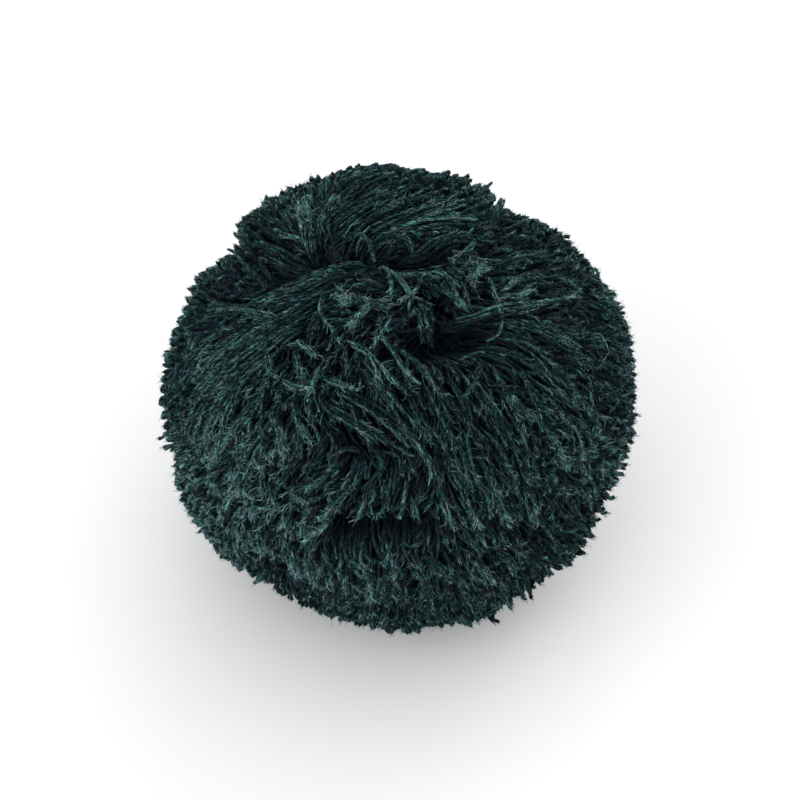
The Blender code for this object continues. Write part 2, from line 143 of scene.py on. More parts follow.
# Locks that show as such: how many strands, how wide they are spread at the root and at the end, how
# high they lie on the ball and how pale they are, and then x and y of each point of their path from
# the root to the end.
LOCK_ROWS = (
    # The tuft at the upper left.
    (14, 1.6, 5.5, 1.2, 1, -21.4, 33.2, -20.6, 37, -21, 42, -22, 49.2),
    (5, 1.5, 4.5, 0.5, 0.3, -19.6, 36, -19, 41, -17, 49.2),
    (4, 2, 4.4, 0.3, 0.3, -23, 38, -25, 42, -26.5, 47.8),
    (4, 2, 4.4, 0.2, 0.15, -24, 37, -27.5, 41.5, -30, 46),
    (3, 2, 4.4, 0.1, 0.1, -26, 36, -31, 39.5, -35, 41.5),
    (6, 1.6, 2.4, 0.6, 0.9, -20.8, 36.6, -24.5, 37.6, -28.6, 38.2),
    (4, 1.6, 2.6, 0.3, 0.35, -20.4, 33, -25, 33.5, -31, 35.5),
    (3, 1.6, 2.6, 0.1, 0.25, -20.5, 31.8, -26, 31.2, -31.5, 32.8),
    (4, 2.4, 1.6, 1.6, 0.35, -37, 33.2, -34.6, 30, -32.5, 27.6, -32, 25.9, -33.2, 24.6, -35, 24.1),
    (5, 2, 1.4, 0.7, 0.3, -33, 34, -32, 31, -31, 28, -30.6, 25.6),
    (2, 0.8, 0.8, 1, 0.5, -34.5, 32.2, -36.6, 32.8, -39.2, 34.4),
    # The long sweep to the left.
    (11, 3, 5, 1.1, 0.44, -5, 33.2, -12, 31.6, -20, 28.6, -26, 26, -30, 24.3, -35, 21.8),
    (10, 3.5, 5, 1.1, 0.52, -9, 30.4, -16, 28, -22, 25, -28, 22.3, -35, 19.2),
    (11, 4, 6.5, 1.2, 0.52, -12, 27.5, -20, 23, -27, 18.5, -33, 14, -38, 9, -42, 3.5),
    (11, 4, 6.5, 1.1, 0.6, -17, 23, -24, 19, -30, 15, -36, 10, -40, 5, -43, -1.5),
    (10, 3.5, 6, 0.9, 0.56, -19.5, 19.8, -26, 15.5, -31, 11.5, -36, 7, -39, 3, -41.5, -4),
    (10, 3.5, 6, 0.9, 0.44, -23, 21.5, -31, 17.5, -37, 12.5, -42, 7.5, -47, 2, -51, -3),
    (10, 3.5, 6, 0.9, 0.56, -28, 14.5, -34, 9, -38, 4, -42, -1, -45, -7),
    (4, 0.8, 1.6, 1.7, 0.8, -25.5, 18.3, -30, 19.2, -35, 20, -40.5, 20.7),
    (7, 2.5, 4, 0.5, 0.36, -25, 24.5, -31, 22.5, -36, 21, -42, 20.4, -48, 19.5),
    (8, 3, 6, 0.5, 0.4, -31, 20.5, -38, 16, -43, 12.5, -48, 9.5, -53, 7),
    (8, 3, 6, 0.5, 0.48, -35, 15.5, -42, 10, -47, 6.5, -53.5, 3.5),
    (8, 3.5, 6, 0.7, 0.64, -35, 6, -38.5, 0, -41, -6, -43, -14),
    (8, 3.5, 6, 0.7, 0.56, -39, 4, -43, -2, -46, -8, -48, -14),
    (5, 2.6, 4, 0.6, 0.52, -30, 3, -34, -3, -38, -8, -43, -14.5),
    (5, 2.6, 4, 0.5, 0.44, -27.5, -0.5, -31, -6, -35, -12, -38, -19),
    (4, 2.4, 4, 0.3, 0.44, -30, -8, -33, -14, -36, -20, -39, -26),
    # The top.
    (7, 2, 6.5, 0.6, 0.38, -19, 38, -16.5, 43, -12, 48, -6.5, 52.6),
    (9, 2.5, 6, 0.7, 0.41, -17.5, 37.5, -12, 42.5, -6, 46, 1, 49.5, 5, 52),
    (9, 3, 6, 0.8, 0.45, -15, 37, -9, 41.5, -3, 44.5, 3, 47.5, 10.5, 51.5),
    (9, 3, 6, 0.8, 0.34, -12, 37.5, -6, 40.8, -1, 43.2, 5, 45.5, 15, 50),
    (9, 3, 6, 0.8, 0.38, -10, 37, -3, 40, 3, 42, 10, 44.5, 20, 48.5),
    (7, 2.5, 4, 1, 0.52, -6, 38, 2, 40.3, 9, 41.4, 15, 42, 21.8, 41),
    (6, 2, 1.6, 1, 0.6, -7, 36.8, -2, 38.4, 2.5, 38, 5.4, 35.8),
    (6, 2, 4, 0.3, 0.3, -2, 34.6, 5, 35.2, 10, 37, 15, 38.2, 22.5, 37),
    (5, 1.4, 2, 1.2, 0.68, 2, 41, 6, 42.5, 10.3, 43.7, 13.8, 41.6),
    (5, 3, 6, 0.6, 0.3, 12, 43.5, 17, 45, 22.5, 47),
    (7, 1.8, 1.9, 0.5, 0.15, 23.6, 41, 23.9, 43.5, 24.2, 46.2),
    (6, 2, 3, 0.8, 0.52, -19.5, 37, -17.5, 41, -14, 45.5, -9, 50.5),
    # Strays and small tufts in the middle.
    (3, 1.4, 1.3, 2.2, 0.9, -11, 36.8, -8, 38.1, -6.4, 36.8, -6, 34, -5, 31.4),
    (2, 1.2, 1.3, 2.4, 1, -5.6, 32, -3, 31, -1.5, 28.5, -1, 26, -2.3, 22.8),
    (2, 1.1, 1.1, 2.4, 0.9, -4.2, 31.6, -0.6, 28, 1.8, 25.5, 4.5, 22.5),
    (3, 1.5, 1.5, 2.6, 1, -4.5, 30.3, 0, 29, 5, 28.4, 10, 28.6, 12, 27, 14, 24, 15.6, 20.6),
    (2, 1.2, 1.2, 2.8, 1, 5, 29.6, 5.3, 26.6, 3.8, 24, 0.8, 22),
    (4, 1.8, 1.6, 1.8, 0.8, -16.5, 24.6, -13, 25.4, -9, 23, -5, 22, 0, 22.4, 3.5, 23.6),
    (2, 1.3, 1.3, 2.2, 1, -15, 25.4, -17.8, 22.4, -17.5, 19, -15.5, 16.5, -12.6, 12.6),
    (5, 1.4, 2.4, 2, 1, -16, 24.4, -13.5, 23.4, -11, 22.3),
    (7, 2.8, 0.8, 2, 1, -4.6, 23.6, -8, 19.4, -11.2, 16.2),
    (4, 2.2, 1.6, 1.4, 0.7, 0, 21, -3.4, 16, -7, 10.4),
    (3, 1.4, 0.9, 1.8, 0.9, -6.4, 10.6, -5, 7, -4, 4.2),
    (5, 2.2, 0.8, 0.9, 0.6, 5.8, 24.5, 6.4, 20, 8, 16, 9.1, 12.2),
    (3, 1.6, 0.9, 0.6, 0.5, 3.6, 22.6, 5.3, 18.4, 7.2, 14),
    (6, 3.4, 1, 2, 0.65, 10.6, 28.6, 12, 25, 14, 22.5, 15.9, 20.3),
    (3, 1.4, 0.9, 2.2, 0.65, 14.4, 28, 15.8, 24.4, 16.1, 20.6),
    (5, 3.4, 3.6, 1.6, 0.95, 14.6, 31.6, 17.5, 31, 20.6, 29.4),
    (5, 3, 1.8, 1.9, 0.9, 17.8, 34.2, 18, 30.4, 16.8, 26),
    (2, 1, 1, 2.4, 0.9, 18, 38.2, 17.6, 36, 16, 34.4, 12.4, 31.6),
    (4, 1.5, 2.2, 2, 0.85, 20.6, 29.6, 22.4, 25, 24.6, 19.8),
    (5, 1.6, 3.2, 2, 0.8, 23.4, 23.8, 27, 23.5, 29.6, 24, 32, 25.4),
    (3, 1, 1.4, 2.2, 0.8, 23.6, 24.6, 25.6, 25.8, 27.6, 27.4),
    (1, 0.2, 0.2, 2, 1, 24.6, 20.4, 24.6, 17.5, 23.5, 15, 20.6, 12.7),
    (2, 0.9, 1.4, 1, 0.7, 9.6, 18.9, 15, 18.8, 20, 20, 24, 21.4, 30, 22, 40, 22.6),
    (2, 1, 1.2, 0.2, 0.5, 9.8, 17.2, 14, 17.5, 18, 18.6, 23, 20),
    (1, 0.2, 0.2, 0.6, 0.8, 12.6, 7.9, 18, 10, 22, 10.6, 25, 10.2),
    (2, 1.2, 1.4, 1.2, 0.85, 20.4, 9.6, 18.5, 6, 17.3, 3, 15.6, 0),
    (5, 1.2, 2, 0.8, 0.7, -1, 12.6, 3, 9.6, 6, 7, 8, 3.4, 10, 0),
    # The left of the middle.
    (5, 1, 1.8, 1.6, 1, -23.6, 13.9, -21, 11.6, -18.6, 9.8),
    (7, 2, 3.2, 1.2, 0.75, -24.6, 12, -22.6, 7, -20.4, 2.6),
    (5, 1.6, 1.4, 1.2, 0.8, -31.2, 11, -29.6, 7.6, -27.8, 4.2),
    (4, 1, 1.2, 1.8, 0.8, -15.4, 11, -18, 6, -19.5, 2, -20.7, -2),
    (7, 2.6, 3, 1.4, 1, -27.4, 4.2, -24, 2.6, -20.6, 1.2),
    (6, 2, 2.2, 1.4, 0.9, -28.8, -1, -27.5, -5, -26, -9, -24.7, -13.8),
    (7, 1.6, 2, 1.4, 0.9, -24.4, -2.6, -22, -6, -19.7, -9.9),
    (6, 1.6, 3.2, 2, 0.8, -18.9, 0.2, -13, -3.6, -7, -7.2, -1, -10.6, 4, -14),
    (4, 1.8, 3.2, 1.4, 0.5, -16, 2.6, -10, 0, -5, -3, 0, -6.6, 4.6, -11),
    (5, 2, 3.4, 1, 0.6, -9.4, 9, -6, 5, -2.6, 1.2, 1, -3.6, 5, -8),
    (4, 1.4, 2, 0.8, 0.5, -13, -14, -17, -18, -21, -21.5),
    (3, 1.2, 1.6, 0.8, 0.6, -8, -12.6, -12, -12.4, -16, -13.6),
    (4, 1.4, 2, 0.8, 0.6, -10, -20, -14, -24, -17.5, -27.5),
    (5, 1.2, 1.6, 1.4, 0.8, -16.4, 4.7, -13.6, 3.6, -11.4, 1),
    (3, 1.2, 1.4, 1.5, 0.85, -7, 17.5, -3, 13.9, -0.5, 10.7, 2.7, 5.7, 5.7, 3),
    (3, 1.2, 1.6, 1.3, 0.8, -13.4, 14.5, -9.5, 12, -6.1, 9.8, -2.5, 5.7, 0.5, 1.6),
    (3, 1.2, 1.6, 1.3, 0.7, -19.5, 7, -15, 3.6, -9.3, 1.6),
    # Fans to the right of the crown.
    (4, 2, 3.4, 0.5, 0.28, 20.5, 19.4, 28, 18, 35, 16.4, 42, 14),
    (4, 1.8, 3, 0.7, 0.4, 24, 19, 30, 17.4, 37, 14, 44, 10),
    (4, 2, 3.2, 0.5, 0.32, 19, 16, 26, 14.8, 32, 12.4, 39, 9),
    (4, 1.8, 3, 0.8, 0.4, 25, 15, 31, 12, 36, 8, 40, 4.6),
    (4, 2, 3.2, 0.5, 0.24, 17.5, 12.6, 24, 11.2, 30, 8, 37, 3),
    (4, 1.8, 3, 0.8, 0.4, 28, 11, 33, 6.6, 37, 2, 40, -2.6),
    (4, 1.8, 3, 0.5, 0.32, 21, 11, 27, 7.4, 32, 2.4, 36, -3),
    (4, 1.6, 2.6, 0.7, 0.4, 33, 8, 38, 3, 42, -2, 44.6, -6),
    (4, 1.4, 2.4, 1.3, 0.8, 20.8, 9.4, 23.5, 5, 26, 0.6, 28.2, -2.4, 31, -5.2),
    (4, 1.6, 2.6, 1.1, 0.68, 27.6, 8, 30, 3, 31.8, -0.4, 33.6, -4),
    (3, 1.6, 2.4, 0.6, 0.4, 14.4, 8, 18, 4, 21, -1, 23.6, -6),
    (3, 1.6, 2.4, 0.6, 0.48, 20, 0, 23, -5, 25.4, -10, 27.2, -15),
    (3, 1.6, 2.2, 0.6, 0.4, 11, 6, 14, 1.6, 16, -4, 17, -9),
    (3, 1.2, 1.6, 0.7, 0.64, 15, -6, 16.6, -11, 17.4, -16, 18.2, -21),
    (3, 1.2, 1.6, 0.7, 0.64, 12, -11, 13.6, -14.6, 16.2, -18.6),
    (3, 1.2, 1.6, 0.7, 0.56, 18.4, -12, 20, -16.6, 21.3, -20.8),
    (3, 1.2, 2, 0.7, 0.64, 20, -7, 23.4, -11.4, 26.6, -18.6),
    (3, 1.6, 2.4, 0.6, 0.48, 23, 4, 27, -3, 29, -8, 30, -12.6),
    (3, 1.6, 2.4, 0.6, 0.48, 30, -1, 34, -7, 37, -12, 38.6, -17),
    (3, 1.6, 2.4, 0.6, 0.44, 34, 2, 38, -4, 40.6, -9, 42, -14),
    (3, 1.6, 2.4, 0.6, 0.48, 6, 4, 9, -2, 11.6, -8, 12.6, -13),
    (3, 1.4, 1.8, 0.7, 0.64, 3.4, -3, 6, -6, 9, -8.6, 11, -11),
    (3, 1.6, 2.4, 0.6, 0.44, 1, -6, 4, -10, 6.6, -14, 8, -19),
    (4, 1.8, 3, 0.3, 0.24, 22.5, 30.4, 30, 32.6, 36, 33.4, 40, 33.4),
    (3, 1.6, 2.4, 0.7, 0.56, 23, 31.6, 28, 33.6, 32, 33.6, 37, 33),
    (4, 1.8, 3, 0.5, 0.4, 22, 29, 27, 28.4, 33, 28.4, 39, 28.6),
    (3, 1.6, 2.4, 0.7, 0.48, 33, 24, 38, 24, 43, 23, 46.6, 22),
    (1, 0.2, 0.2, 1.1, 0.8, 43.6, 15.6, 45.6, 13, 47, 10, 45.4, 6.6),
    # The ends that hang over the cleft at the front.
    (5, 2.2, 1.4, 1.8, 0.95, -13.5, -25, -16.5, -28.6, -20.6, -32),
    (3, 1.6, 1.2, 1.6, 0.95, -6.6, -22, -8, -26, -9.8, -29.8),
    (2, 1.2, 1.2, 1.4, 0.8, -6.6, -24, -5.8, -27, -3.8, -28.6),
    (3, 1.6, 1.3, 1.6, 0.95, 2.6, -19, 1, -24, -0.6, -28.4),
    (3, 1.8, 1.2, 1.6, 0.85, 3.4, -22, 4, -26.6, 5.4, -30.4),
    (4, 1.8, 2, 1.2, 0.6, 9, -20, 10.4, -24, 12.4, -29.6),
    (4, 2, 2.6, 1, 0.7, 14.6, -22, 16, -25, 19, -30),
    (4, 2, 2.8, 1, 0.7, 21.6, -21, 23, -24, 25.6, -29.6),
    (4, 2, 2.8, 1, 0.7, 28.4, -20, 29.6, -23, 31, -28.6),
    # Under the cleft and at the lower left.
    (7, 4.4, 1.6, 1.4, 0.9, -25.6, -31.4, -23.8, -36, -22.6, -41, -21.9, -45.6),
    (4, 2.4, 2.2, 0.9, 0.7, -20.4, -33, -19.2, -38, -18.6, -45),
    (3, 0.8, 0.9, 1.6, 1, -3, -32, -1.2, -35.6, -0.9, -40, -0.6, -43.6),
    (1, 0.2, 0.2, 1.8, 1, 0.8, -40.6, 2, -43.6, 3.6, -45, 5.2, -44.4, 5.6, -41.6, 4.4, -39.2),
    (4, 2.4, 3.4, 0.5, 0.7, -36, -27, -35.6, -33, -33.6, -39.6),
    (4, 2.4, 3.4, 0.5, 0.6, -30, -24, -31.6, -30, -31, -36),
    (4, 2.2, 3.2, 0.6, 0.5, 15, -35, 19, -39, 23, -46),
    (4, 2.2, 3.2, 0.6, 0.5, 21.6, -34, 26, -38, 29, -43.6),
    (2, 1.2, 1.4, 0.9, 0.8, 32, -28, 34.4, -30.6, 37.6, -34.4),
    (4, 2.2, 3.2, 0.6, 0.5, 5, -35.5, 8, -37, 13, -42),
    (3, 1.4, 1.6, 0.9, 0.8, -8, -38, -6.6, -40, -5.4, -44.6),
    (3, 1.4, 1.6, 0.9, 0.7, -13, -39, -12, -41, -11.6, -46),
    # Points that stand out of the outline.
    (6, 3, 1.8, 0.4, 0.35, -46, -4, -50, -6.6, -54.4, -9.2),
    (3, 1.8, 1.4, 0.4, 0.25, -47, -8.4, -50, -10, -53, -11.6),
    (2, 1.2, 0.6, 0.2, 0.1, 24, -45, 25.4, -46.6, 26.4, -47.9),
    (2, 1.2, 0.6, 0.2, 0.1, 28, -43, 28.6, -44.8, 28.8, -46),
    (2, 1.2, 0.6, 0.2, 0.2, 29.4, -42, 30.2, -44.2, 30.5, -45.7),
    (3, 1.6, 1, 0.2, 0.1, 32.6, -37.6, 34.4, -39.2, 35.6, -40),
    (2, 1.4, 0.8, 0.2, 0.1, 39, -33.8, 41.2, -35, 42.8, -35.4),
    (2, 1.4, 0.8, 0.2, 0.1, 42, -29, 43.6, -30.6, 44.6, -31.8),
    (3, 1.6, 0.8, 0.2, 0.1, 45, -24.2, 46.6, -25.6, 47.6, -26.4),
    (2, 1.4, 0.8, 0.2, 0.1, 47, -21.6, 48.6, -22.4, 49.4, -22.6),
    (3, 1.6, 1, 0.2, 0.1, 20.4, -48.4, 21.8, -50.2, 22.9, -51.3),
    (2, 1.4, 0.8, 0.2, 0.1, 51.4, -2.6, 53.2, -3.6, 54.6, -4.2),
    (2, 1.4, 0.8, 0.2, 0.1, -30.6, -40.2, -31.6, -41.6, -32.3, -42.4),
)
Lock = namedtuple("Lock", "strands root_width end_width lift paleness path")
LOCKS = [Lock(*row[:5], np.reshape(row[5:], (-1, 2))) for row in LOCK_ROWS]

# The yarn.
YARN_RADIUS = 0.57 * MM
STRAND_SIDES = 3
LOCK_SIDES = 4
PLY_PITCH = 3.0 * MM
CORE_SHARE = 0.78  # of the reach, where the lengths are packed too tight to see between
DEEP_RINGS = (0, 0.35, 0.62, 0.84, 1)  # shares of a length, from its root to its end
BODY_RINGS = (0, 0.3, 0.54, 0.74, 0.88, 1)
TOP_RINGS = (0, 0.22, 0.42, 0.58, 0.71, 0.82, 0.92, 1)
LOCK_RINGS = (0, 0.1, 0.2, 0.31, 0.42, 0.53, 0.64, 0.75, 0.85, 0.93, 1)
WAVE_HEIGHT = 0.45 * MM
CLUMP_COUNT = 1300
CLUMP_PULL = 0.35  # share of the way that ends are drawn to the middle of their clump
TUFT_COUNT = 240

# Layers: how many ends all round, how far they lie under the reach, how thick they
# are, how far they spread and how much of the fall they follow.
Layer = namedtuple("Layer", "ends low high rings wide heading_spread run_share")
FRONT_LAYERS = (
    Layer(5000, 3.6 * MM, 7.0 * MM, DEEP_RINGS, 1.15, 10, 0.8),
    Layer(9000, 1.0 * MM, 4.2 * MM, BODY_RINGS, 1.04, 11, 0.9),
    Layer(5200, -0.7 * MM, 1.6 * MM, TOP_RINGS, 1.02, 15, 0.8),
)
BACK_LAYERS = (
    Layer(1500, 2.6 * MM, 5.5 * MM, DEEP_RINGS, 1.15, 10, 0.8),
    Layer(11500, -0.2 * MM, 3.2 * MM, DEEP_RINGS, 1.06, 13, 0.9),
    Layer(3400, -0.9 * MM, 1.2 * MM, TOP_RINGS, 1.0, 18, 1.0),
)
FRONT_LIMIT = -0.22  # of how far a place faces the viewer
LAYER_FUZZ = (0.25, 1.0, 2.6, 0.2, 0.9, 2.2, 4.5)  # how much fuzz each layer has, and the locks
ROOT_SINK = 6 * MM  # of a lock's root, under the others
LOCK_LIMIT = 48.5  # from the middle of the view, past which the ball curves away
EDGE_START = 45  # from the middle of the view, where the locks that stand out of the edge begin
COVER_MARGIN = 0.1  # beside a lock, where fewer ends of the others show
COVER_CHANCE = 0.75  # of leaving out an end that a lock covers
RUN_POWER = 1.6  # how much more a length runs sideways near its end
CLIMB_POWER = 2.1  # how fast a length rises from its root
SHORTEST = 3 * MM
STRAND_LEAN = 0.7 * MM

# How far a place faces the viewer, from the edge of the view to where its middle begins.
PULLED = (0.2, 0.55)  # ends drawn into clumps
UNEVEN = (0.25, 0.6)  # clumps of different heights
RIM = (0.12, 0.5)  # dense and blunt at the edge
INSIDE = (0.25, 0.75)  # a little paler in the middle of the view: painted light, darker toward its edge
OUTER = (0.05, 0.35)  # past the edge, the palest: painted rim light
SHORT_FUZZ = (0.2, 0.65)
LOOSE_EDGE = (0.15, 0.45)
UPPER = (-0.6, 0.05)  # of how far a place faces up: the painted rim light fades out toward the underside

# Painted shade on the yarn: by its depth under the surface, by a hollow's depth, and by its depth in it.
SHADED = (0.6 * MM, 7.5 * MM)
HOLLOWED = (1.5 * MM, 7.5 * MM)
SUNK = (0.8 * MM, 4.5 * MM)

# The fuzz: short fibres that hug the yarn, and a few longer curly ones.
STRAIGHT_COUNT = 60000
BENT_COUNT = 80000
CURLY_COUNT = 36000
FIBRE_WIDTH = 0.08 * MM
LONGEST_STRAIGHT = 2.6 * MM
LONGEST_LOOSE = 4 * MM
END_SHARE = 0.3  # of the straight fibres, which fray the cut ends
# Where the yarn is loosened or lies smooth: place, radius and how much more or less fibre there is. The
# same amount makes the yarn paler or darker there, partly real fuzz and partly painted light and shade.
WOOLLY = (
    (-33, -31, 10, 2.3), (-31, -11, 8, 1.3), (-23, -25, 8, 1.6), (-43, -18, 11, 2.8), (-6, -43, 12, 1.0),
    (-21, -38, 5, 1.5), (26, -25, 9, 1.2), (45, -14, 10, 2.6), (44, 12, 5, 1.0), (-13.5, 23.5, 2.6, 3.0),
    (18, 31, 3.4, 2.6), (-21.5, 44, 3, 3.0), (40, 28, 8, 0.6), (-25, 2, 5, 0.6), (29, 24, 4, 1.2),
    (16, -44, 8, 0.8), (-45, 0, 7, 1.0), (23, 17, 9, -0.9), (5, 33, 9, -0.5), (32, 38, 9, -0.4),
    (-29, 37, 7, -0.7), (-12, 41, 8, -0.5), (0, -21, 9, -0.4), (-5, 19, 7, 0.9), (-14, -12, 7, -0.5),
    (37, -37, 8, -0.8), (46, -27, 7, -0.6), (12, -50, 9, -0.7), (-36, -23, 5, 1.4), (-22, -38, 4, 1.2),
    (34, 8, 8, -0.7), (-32, 24, 7, -0.6), (-27, -44, 5, -0.9),
)

# The wool's grain, in waves in a metre, and its relief.
CURLS = 620.0
PATCHES = 450.0
HUES = 1100.0
MIDDLE_GRAIN = 900.0
RELIEF = 0.25 * MM  # of the plies, and of the fibres on them
MIDDLE_RELIEF = 0.6 * MM

# The wool's colours, in pairs where one goes over into the other.
# Painted shade in the grooves between the plies and away from the strands' tops, with a random tone for
# each strand.
GROOVE_SHADES = ((0.0040, 0.0104, 0.0128), (0.0058, 0.0146, 0.0170))
PLAIN = ((0.0033, 0.0084, 0.0100), (0.0048, 0.0160, 0.0168))
BLUISH = (0.0075, 0.0080, 0.0150)
# Painted highlights: fibres along the plies that catch the light, brighter where the yarn is paler.
FIBRE_HIGHLIGHTS = ((0.023, 0.078, 0.080), (0.205, 0.425, 0.408))
# Painted shade on the sides and undersides of the strands.
STRAND_SIDE_SHADE = (0.0030, 0.0056, 0.0074)
# Painted shade deep in the ball, lighter and bluer than the yarn so that the gaps between lengths keep
# some colour.
DEPTH_SHADE_PAINT = ((0.0175, 0.0270, 0.0420), (0.0480, 0.0950, 0.1130))
# Painted shade in the hollows.
HOLLOW_SHADE_PAINT = (0.0028, 0.0042, 0.0066)
SPECKS = ((0.46, 1.04, 0.98), (1.55, 0.96, 1.02))
MIDDLE = ((0.0080, 0.0140, 0.0200), (0.0620, 0.0980, 0.1240))
GREEN_FUZZ = ((0.0040, 0.0110, 0.0128), (0.19, 0.52, 0.49))
MAUVE_FUZZ = ((0.0085, 0.0100, 0.0160), (0.44, 0.47, 0.50))


def unit(rows):
    """Each row with a length of 1."""
    return rows / np.maximum(np.linalg.norm(rows, axis=-1, keepdims=True), 1e-12)


def without(rows, directions):
    """What is left of each row without its part along a direction."""
    return rows - directions * np.sum(rows * directions, axis=-1, keepdims=True)


def smooth_step(low, high, value):
    """0 below low, 1 above high, and an even curve between them."""
    share = np.clip((value - low) / (high - low), 0, 1)
    return share * share * (3 - 2 * share)


def in_view(directions):
    """Directions from the centre, as places in the view in millimetres and how far they face it."""
    scale = MEAN_REACH / MM
    return directions @ RIGHT * scale, directions @ UP * scale, directions @ TO_VIEWER


def nearness(x, y, row, spread):
    """1 at a row's place in the view, and less around it."""
    return np.exp(-((x - row[0]) ** 2 + (y - row[1]) ** 2) / spread)


def reach(directions):
    """From the ball's centre to the cut ends, before the hollows and the floor."""
    x, y, facing = in_view(directions)
    rise = np.abs(directions[..., 2])
    upright = np.sqrt(np.maximum(0, 1 - rise**2))
    plain = 1 / np.hypot(upright / DEPTH_REACH, rise / TOP_REACH)
    edge_x, edge_y = np.array(OUTLINE, float).T
    clock = np.arctan2(edge_y, edge_x)
    seen = np.interp(np.arctan2(y, x), clock, np.hypot(edge_x, edge_y), period=2 * pi) * MM
    edge = smooth_step(0.72, 1.0, np.sqrt(np.maximum(0, 1 - facing**2)))
    return plain * (1 - edge) + seen * edge


def hollow_depth(directions):
    """How deep the hollows are in these directions."""
    x, y, facing = in_view(directions)
    depth = np.zeros_like(x)
    for hollow in HOLLOWS:
        turn = radians(hollow.heading)
        along = (x - hollow.x) * cos(turn) + (y - hollow.y) * sin(turn)
        across = (y - hollow.y) * cos(turn) - (x - hollow.x) * sin(turn)
        width = np.where(across > 0, hollow.above, hollow.below)
        off = (along / hollow.half_length) ** 2 + (across / width) ** 2
        depth += hollow.depth * np.exp(-(off**1.5))
    return depth * MM * smooth_step(*TABLES_HOLD, facing)


def fall(directions):
    """The way the yarn falls, along the ball, as long as it lies."""
    x, y, facing = in_view(directions)
    total = np.full_like(x, STRAIGHT_WEIGHT)
    side = np.zeros_like(x)
    rise = np.zeros_like(x)
    for *place, heading, run in FALLS:
        weight = nearness(x, y, place, 2 * FALL_SPREAD**2)
        total += weight
        side += weight * run * cos(radians(heading))
        rise += weight * run * sin(radians(heading))
    run = (side / total)[..., None] * RIGHT + (rise / total)[..., None] * UP
    away = smooth_step(-0.25, 0.1, facing)
    limb = 0.6 + 0.4 * smooth_step(0.15, 0.6, facing)
    run = run * ((0.75 + 0.25 * away) * np.where(facing > 0, limb, 1))[..., None] * MM
    return without(run, directions)


def spread_directions(count, chance):
    """Even directions all round, a little shaken."""
    index = np.arange(count)
    z = 1 - 2 * (index + 0.5) / count
    ring = np.sqrt(1 - z * z)
    turn = pi * (3 - sqrt(5)) * index
    even = np.stack((ring * np.cos(turn), ring * np.sin(turn), z), axis=-1)
    return unit(even + chance.normal(0, 0.9 / sqrt(count), even.shape))


def core_reach(directions):
    """From the ball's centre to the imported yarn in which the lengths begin."""
    return reach(directions) * CORE_SHARE - 0.8 * hollow_depth(directions)


def turned(rows, directions, degrees):
    """Rows along the ball, turned in its surface."""
    angle = np.radians(degrees)[..., None]
    return rows * np.cos(angle) + np.cross(directions, rows) * np.sin(angle)


Strands = namedtuple("Strands", "points radii own across pale shade dim")
Groups = namedtuple("Groups", "middle heading lean depth tint")


def make_groups(count, turn, lean, low, high, chance):
    """Groups of lengths that turn, lean and stand alike."""
    return Groups(
        spread_directions(count, chance),
        chance.normal(0, turn, count),
        chance.normal(0, lean, (count, 3)),
        chance.uniform(low, high, count),
        chance.uniform(0, 1, count),
    )


def shade_and_dim(points):
    """Painted light on the yarn: how lit it is, from 1 at the surface to 0 deep in the ball, and how much
    painted shade it gets in a hollow.
    """
    arms = points - CENTRE
    away = np.linalg.norm(arms, axis=-1)
    directions = arms / away[..., None]
    below = reach(directions) - away
    shade = (1 - smooth_step(*SHADED, below)) ** 0.7
    return shade, smooth_step(*HOLLOWED, hollow_depth(directions)) * smooth_step(*SUNK, below)


def walk_back(ends, heading, lean, run_share, shares):
    """Directions from each root to its end, walked back against the fall, and the last step's way."""
    along = shares**RUN_POWER
    run_length = np.linalg.norm(fall(ends), axis=-1) * run_share
    here = ends
    way_back = [here]
    for last, this in zip(along[:0:-1], along[-2::-1]):
        run = turned(unit(fall(here)), here, heading) * run_length[:, None] + lean
        run = without(run, here)
        here = unit(here - run * ((last - this) / MEAN_REACH))
        way_back.append(here)
    return np.stack(way_back[::-1], axis=1), run


def middle_lines(ends, directions, depth, shares):
    """The lengths' middle lines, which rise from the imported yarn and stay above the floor."""
    top = reach(ends) - hollow_depth(ends) - depth
    floor = CENTRE[2] / np.maximum(-ends[:, 2], 1e-6)
    top = np.where(ends[:, 2] < 0, np.minimum(top, floor), top)
    root = np.minimum(core_reach(directions[:, 0]), top - SHORTEST)
    climb = 1 - (1 - shares) ** CLIMB_POWER
    distance = root[:, None] + (top - root)[:, None] * climb
    ceiling = reach(directions) - 0.9 * hollow_depth(directions) - depth[:, None]
    distance = np.minimum(distance, np.maximum(ceiling, root[:, None]))
    return CENTRE + directions * distance[..., None]


def paleness(ends, tint, loose, shares, chance):
    """How pale each length is along it: by its clump, by chance and where it is woolly, with painted
    light most at some of the tips, more toward its end and at the upper rim, and painted shade toward the
    edge of the view.
    """
    count = len(ends)
    pale = 0.36 * tint**2 + 0.3 * chance.uniform(0, 1, count) ** 2 + 0.14 * loose
    painted_tip_light = (chance.uniform(0, 1, count) ** 1.5)[:, None] * smooth_step(0.6, 1, shares)
    facing = ends @ TO_VIEWER
    painted_rim_light = (1 - smooth_step(*OUTER, facing)) * smooth_step(*UPPER, ends[:, 2])
    painted_light_by_view = 0.88 + 0.12 * smooth_step(*INSIDE, np.abs(facing)) + 0.5 * painted_rim_light
    return np.minimum(pale[:, None] * (0.7 + 0.3 * shares) + 0.75 * painted_tip_light, 1) * painted_light_by_view[:, None]


